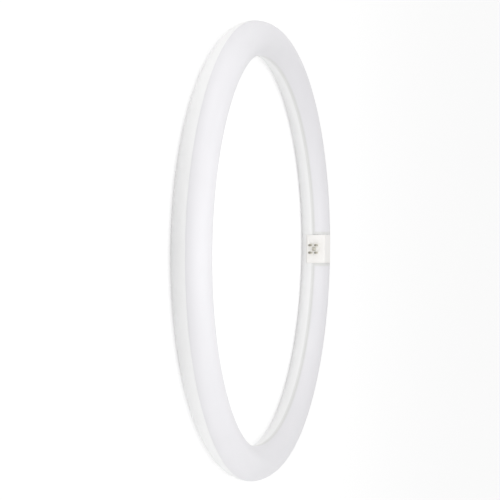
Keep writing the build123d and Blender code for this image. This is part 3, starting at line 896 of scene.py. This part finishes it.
class LAMP_OT_contact_pins(bpy.types.Operator):
    """Turns a contact pin with a rounded, crimped tip and sets four of them in the base block"""

    bl_idname = "lamp.contact_pins"
    bl_label = "Contact pins"

    def execute(self, context):
        sizes = context.scene.lamp.base
        low, high = PIN_BOXES[0]
        radius = (high.x - low.x) / 2
        tip, end = low.y - BASE_LOW.y, high.y - BASE_LOW.y
        bottom = tip + sizes.bore_depth
        profile = [(0, bottom), (sizes.pin_bore, bottom), (sizes.pin_bore, tip)]
        profile += [
            (radius - sizes.pin_tip * (1 - math.sin(turn)), tip + sizes.pin_tip * (1 - math.cos(turn)))
            for turn in DOME
        ]
        profile += [(radius, 0), (sizes.pin_neck, 0), (sizes.pin_neck, end), (0, end)]
        pin = turned("Pin", profile)
        corners = [corner for box in PIN_BOXES for corner in box]
        left, right = min(c.x for c in corners), max(c.x for c in corners)
        low_z, high_z = min(c.z for c in corners), max(c.z for c in corners)
        values = {
            "Pin": pin,
            "Across": right - left - 2 * radius,
            "Up": high_z - low_z - 2 * radius,
            "Centre": Vector(((left + right) / 2, BASE_LOW.y, (low_z + high_z) / 2)),
            "Material": plated_brass(sizes.pin_metal, low.y, low.y + sizes.dull_tip),
        }
        piece = grow("Contact_pins", pin_tree(), values)
        bpy.data.objects.remove(pin)
        smooth(piece, 30)
        place(piece, "pin_brass", *four("contact_pin"))
        return {"FINISHED"}


class LAMP_OT_base_screw(bpy.types.Operator):
    """Turns the pan-head screw and cuts its cross recess"""

    bl_idname = "lamp.base_screw"
    bl_label = "Screw"

    def execute(self, context):
        sizes = context.scene.lamp.base
        radius = (SCREW_HIGH.x - SCREW_LOW.x) / 2
        top, end = SCREW_LOW.y, SCREW_HIGH.y
        seat = top + sizes.head_height
        dome = sizes.head_height * sizes.head_dome
        profile = [(radius * math.sin(turn), top + dome * (1 - math.cos(turn))) for turn in DOME]
        shank = sizes.screw_shank
        profile += [(radius, seat), (shank, seat), (shank, end - shank), (0, end)]
        piece = turned("Base_screw", profile)
        for turn in (0, math.pi / 2):
            carve(piece, self.arm(sizes, top, turn))
        piece.data.transform(Matrix.Translation((0, 0, (SCREW_LOW.z + SCREW_HIGH.z) / 2)))
        paint(piece, zinc_plated_steel(sizes.screw_metal))
        smooth(piece, 30)
        place(piece, "screw_steel", "base_screw")
        return {"FINISHED"}

    def arm(self, sizes, top, turn):
        """A wedge that cuts one bar of the cross, and narrows with depth"""
        span, width, depth = sizes.recess_span / 2, sizes.recess_width / 2, sizes.recess_depth
        bar = block("Arm", (-span, top - depth, -width), (span, top + depth, width))
        for vert in bar.data.vertices:
            if vert.co.y > top:
                vert.co.x *= sizes.recess_taper
                vert.co.z *= sizes.recess_thinning
        bar.data.transform(Matrix.Rotation(turn, 4, "Y"))
        return bar


class LAMP_OT_led_packages(bpy.types.Operator):
    """Moulds an LED package with its phosphor window and sets the rows on the boards"""

    bl_idname = "lamp.led_packages"
    bl_label = "LED packages"

    def execute(self, context):
        sizes = context.scene.lamp.light
        ring = context.scene.lamp.shells.ring_radius
        height = PACKAGES_HIGH.z - PACKAGES_LOW.z
        shape = bmesh.new()
        bmesh.ops.create_cube(
            shape,
            matrix=Matrix.Translation((0, 0, height / 2))
            @ Matrix.Diagonal((sizes.package_width, sizes.package_length, height, 1)),
        )
        window = shape.faces.layers.bool.new("window")
        top = max(shape.faces, key=lambda face: face.calc_center_median().z)
        bmesh.ops.inset_region(shape, faces=[top], thickness=sizes.window_margin)
        bmesh.ops.inset_region(shape, faces=[top], thickness=sizes.dish / 2, depth=-sizes.dish)
        top[window] = True
        package = helper_mesh("Package", shape)
        first = (BASE_HIGH.x + sizes.end_margin) / ring
        gap = sizes.spacing / ring
        step = (2 * math.pi - 2 * first - gap) / sizes.boards
        values = {
            "Package": package,
            "Boards": sizes.boards,
            "LEDs": sizes.leds,
            "Ring Radius": ring,
            "Height": PACKAGES_LOW.z,
            "First Angle": math.pi / 2 + first + gap,
            "Board Step": step,
            "LED Step": (step - gap) / sizes.leds,
            "Material": package_polyamide(sizes.frame_white),
            "Window Material": phosphor_silicone(sizes.phosphor),
        }
        piece = grow("LED_packages", led_tree(), values)
        bpy.data.objects.remove(package)
        place(piece, "led_phosphor", *four("led_packages"))
        return {"FINISHED"}


class LAMP_OT_tray(bpy.types.Operator):
    """Finishes the aluminium tray, the LED boards and the bridges between them"""

    bl_idname = "lamp.tray"
    bl_label = "Tray and boards"

    def execute(self, context):
        finish(rolled_aluminium(), "heat_spreader")
        coat("White solder mask", *four("led_board"))
        finish(tinned_copper(), "board_links")
        return {"FINISHED"}


class LAMP_OT_driver(bpy.types.Operator):
    """Finishes the driver board with its components, trough and cover sheet"""

    bl_idname = "lamp.driver"
    bl_label = "Driver"

    def execute(self, context):
        finish(glass_laminate(), "driver_board")
        finish(wound_tape(), "transformer_winding")
        coat("Polyester film", "driver_trough", "insulation_sheet")
        coat("Yellow polyester box", "input_capacitor")
        coat("Slate sleeve", "bulk_capacitor_1", "bulk_capacitor_2")
        coat("Black sleeve", "output_choke")
        coat("Black epoxy", "bridge_rectifier", "controller_chip")
        coat("Blue dipped resin", "varistor")
        coat("Cement coat", "fuse_resistor")
        coat("Sintered ferrite", "transformer_core")
        return {"FINISHED"}


class LAMP_OT_leads(bpy.types.Operator):
    """Finishes the wires inside the lamp"""

    bl_idname = "lamp.leads"
    bl_label = "Leads"

    def execute(self, context):
        coat("White PVC", *four("pin_lead"))
        coat("Dull red PVC", "output_lead_1")
        coat("Black PVC", "output_lead_2")
        return {"FINISHED"}


class LAMP_OT_stage(bpy.types.Operator):
    """Sets up the pale floor, the even light, the lamps and the camera"""

    bl_idname = "lamp.stage"
    bl_label = "Stage"

    def execute(self, context):
        stage = context.scene.lamp.stage
        add_floor(stage)
        light_world(stage)
        add_lamp("Key lamp", (0, -0.62, 0.5), (0, -0.18, 0), 0.5, stage.key_power)
        add_lamp("Over lamp", (0, -0.35, 0.6), (0, -0.18, 0), 0.6, stage.over_power)
        add_lamp("Left lamp", (-1.1, -0.5, 0.5), (0, 0, 0), 0.7, stage.left_power)
        add_lamp("Right lamp", (1.1, -0.5, 0.5), (0, 0, 0), 0.7, stage.right_power)
        add_camera(stage)
        context.scene.view_settings.view_transform = "Standard"
        return {"FINISHED"}


def shown_white(tree):
    """Picks out what the camera sees straight, in gloss or through glass"""
    rays = add_node(tree, "ShaderNodeLightPath").outputs
    seen = rays["Is Camera Ray"]
    for kind in ("Is Glossy Ray", "Is Transmission Ray"):
        seen = add_node(tree, "ShaderNodeMath", (seen, rays[kind]), operation="MAXIMUM").outputs[0]
    return seen


def add_floor(stage):
    """A pale floor that the camera sees as white, with the lamp's soft shadow kept on it"""
    half = stage.floor_size / 2
    mesh = bpy.data.meshes.new("Floor")
    corners = [(-half, -half), (half, -half), (half, half), (-half, half)]
    mesh.from_pydata([(x, y, SHELL_LOW.z) for x, y in corners], [], [(0, 1, 2, 3)])
    floor = add_object("Floor", mesh)
    material, tree, shader, spot = new_material("Pale floor")
    along = add_node(tree, "ShaderNodeSeparateXYZ", [spot]).outputs[1]
    values = {"Value": along, "From Min": stage.grey_from, "From Max": stage.grey_to, **FALLING}
    front = add_node(tree, "ShaderNodeMapRange", values, **SMOOTH)
    colours = {"Factor": front, 6: stage.floor_white, 7: stage.front_grey}
    tones = add_node(tree, "ShaderNodeMix", colours, data_type="RGBA")
    tree.links.new(tones.outputs[2], shader.inputs["Base Color"])
    shader.inputs["Roughness"].default_value = 0.9
    gain = (front, stage.front_gain, stage.glow_strength)
    strength = add_node(tree, "ShaderNodeMath", gain, operation="MULTIPLY_ADD")
    glow = add_node(tree, "ShaderNodeEmission", {"Color": (1, 1, 1, 1), "Strength": strength})
    share = add_node(tree, "ShaderNodeMath", (shown_white(tree), stage.floor_glow), operation="MULTIPLY")
    mixed = add_node(tree, "ShaderNodeMixShader", (share, shader, glow))
    end = next(node for node in tree.nodes if node.type == "OUTPUT_MATERIAL")
    tree.links.new(mixed.outputs[0], end.inputs["Surface"])
    mesh.materials.append(material)


def light_world(stage):
    """White to the camera and in reflections, and an even light on everything else"""
    world = bpy.data.worlds.new("Studio")
    bpy.context.scene.world = world
    world.use_nodes = True
    tree = world.node_tree
    tree.nodes.clear()
    even = add_node(tree, "ShaderNodeBackground", {"Color": (1, 1, 1, 1), "Strength": stage.ambient})
    white = add_node(tree, "ShaderNodeBackground", {"Color": (1, 1, 1, 1), "Strength": 1})
    mixed = add_node(tree, "ShaderNodeMixShader", (shown_white(tree), even, white))
    add_node(tree, "ShaderNodeOutputWorld", {"Surface": mixed})


def add_lamp(name, position, target, size, watts):
    """A square soft lamp that points at a target"""
    light = bpy.data.lights.new(name, "AREA")
    light.size = size
    light.energy = watts
    lamp = add_object(name, light)
    lamp.location = position
    lamp.rotation_euler = (Vector(target) - Vector(position)).to_track_quat("-Z", "Y").to_euler()


def add_camera(stage):
    """The camera, above the ring's plane and turned on its side, as the lamp was photographed"""
    data = bpy.data.cameras.new("Camera")
    data.lens = stage.lens
    data.sensor_width = 36
    data.clip_start = 0.01
    data.clip_end = 100
    camera = add_object("Camera", data)
    spot = stage.distance * Vector((0, -math.cos(stage.elevation), math.sin(stage.elevation)))
    ahead = -spot.normalized()
    side = ahead.cross(Vector((0, 0, 1))).normalized()
    above = side.cross(ahead)
    ahead = (ahead + stage.aim_side * side + stage.aim_up * above).normalized()
    side = ahead.cross(above).normalized()
    above = side.cross(ahead)
    right = math.cos(stage.roll) * side + math.sin(stage.roll) * above
    top = math.cos(stage.roll) * above - math.sin(stage.roll) * side
    pose = Matrix((right, top, -ahead)).transposed().to_4x4()
    pose.translation = spot
    camera.matrix_world = Matrix.Rotation(stage.turn, 4, "Z") @ pose
    bpy.context.scene.camera = camera


class LAMP_PT_panel(bpy.types.Panel):
    """Lists the lamp's pieces, each with its button"""

    bl_idname = "LAMP_PT_panel"
    bl_label = "Ring Lamp"
    bl_space_type = "VIEW_3D"
    bl_region_type = "UI"
    bl_category = "Ring Lamp"

    def draw(self, context):
        for item in OPERATORS:
            self.layout.operator(item.bl_idname)


OPERATORS = (
    LAMP_OT_back_shell,
    LAMP_OT_front_diffuser,
    LAMP_OT_base_housing,
    LAMP_OT_contact_pins,
    LAMP_OT_base_screw,
    LAMP_OT_led_packages,
    LAMP_OT_tray,
    LAMP_OT_driver,
    LAMP_OT_leads,
    LAMP_OT_stage,
)
CLASSES = (ShellSizes, BaseSizes, LightSizes, StageSettings, LampSettings, *OPERATORS, LAMP_PT_panel)


def register():
    """Adds the lamp's classes and settings"""
    for item in CLASSES:
        bpy.utils.register_class(item)
    bpy.types.Scene.lamp = bpy.props.PointerProperty(type=LampSettings)


def unregister():
    """Takes the lamp's settings and classes away again"""
    del bpy.types.Scene.lamp
    for item in reversed(CLASSES):
        bpy.utils.unregister_class(item)


def main():
    """Makes the lamp and its stage"""
    register()
    for item in OPERATORS:
        getattr(bpy.ops.lamp, item.bl_idname.removeprefix("lamp."))()


if __name__ == "__main__":
    main()
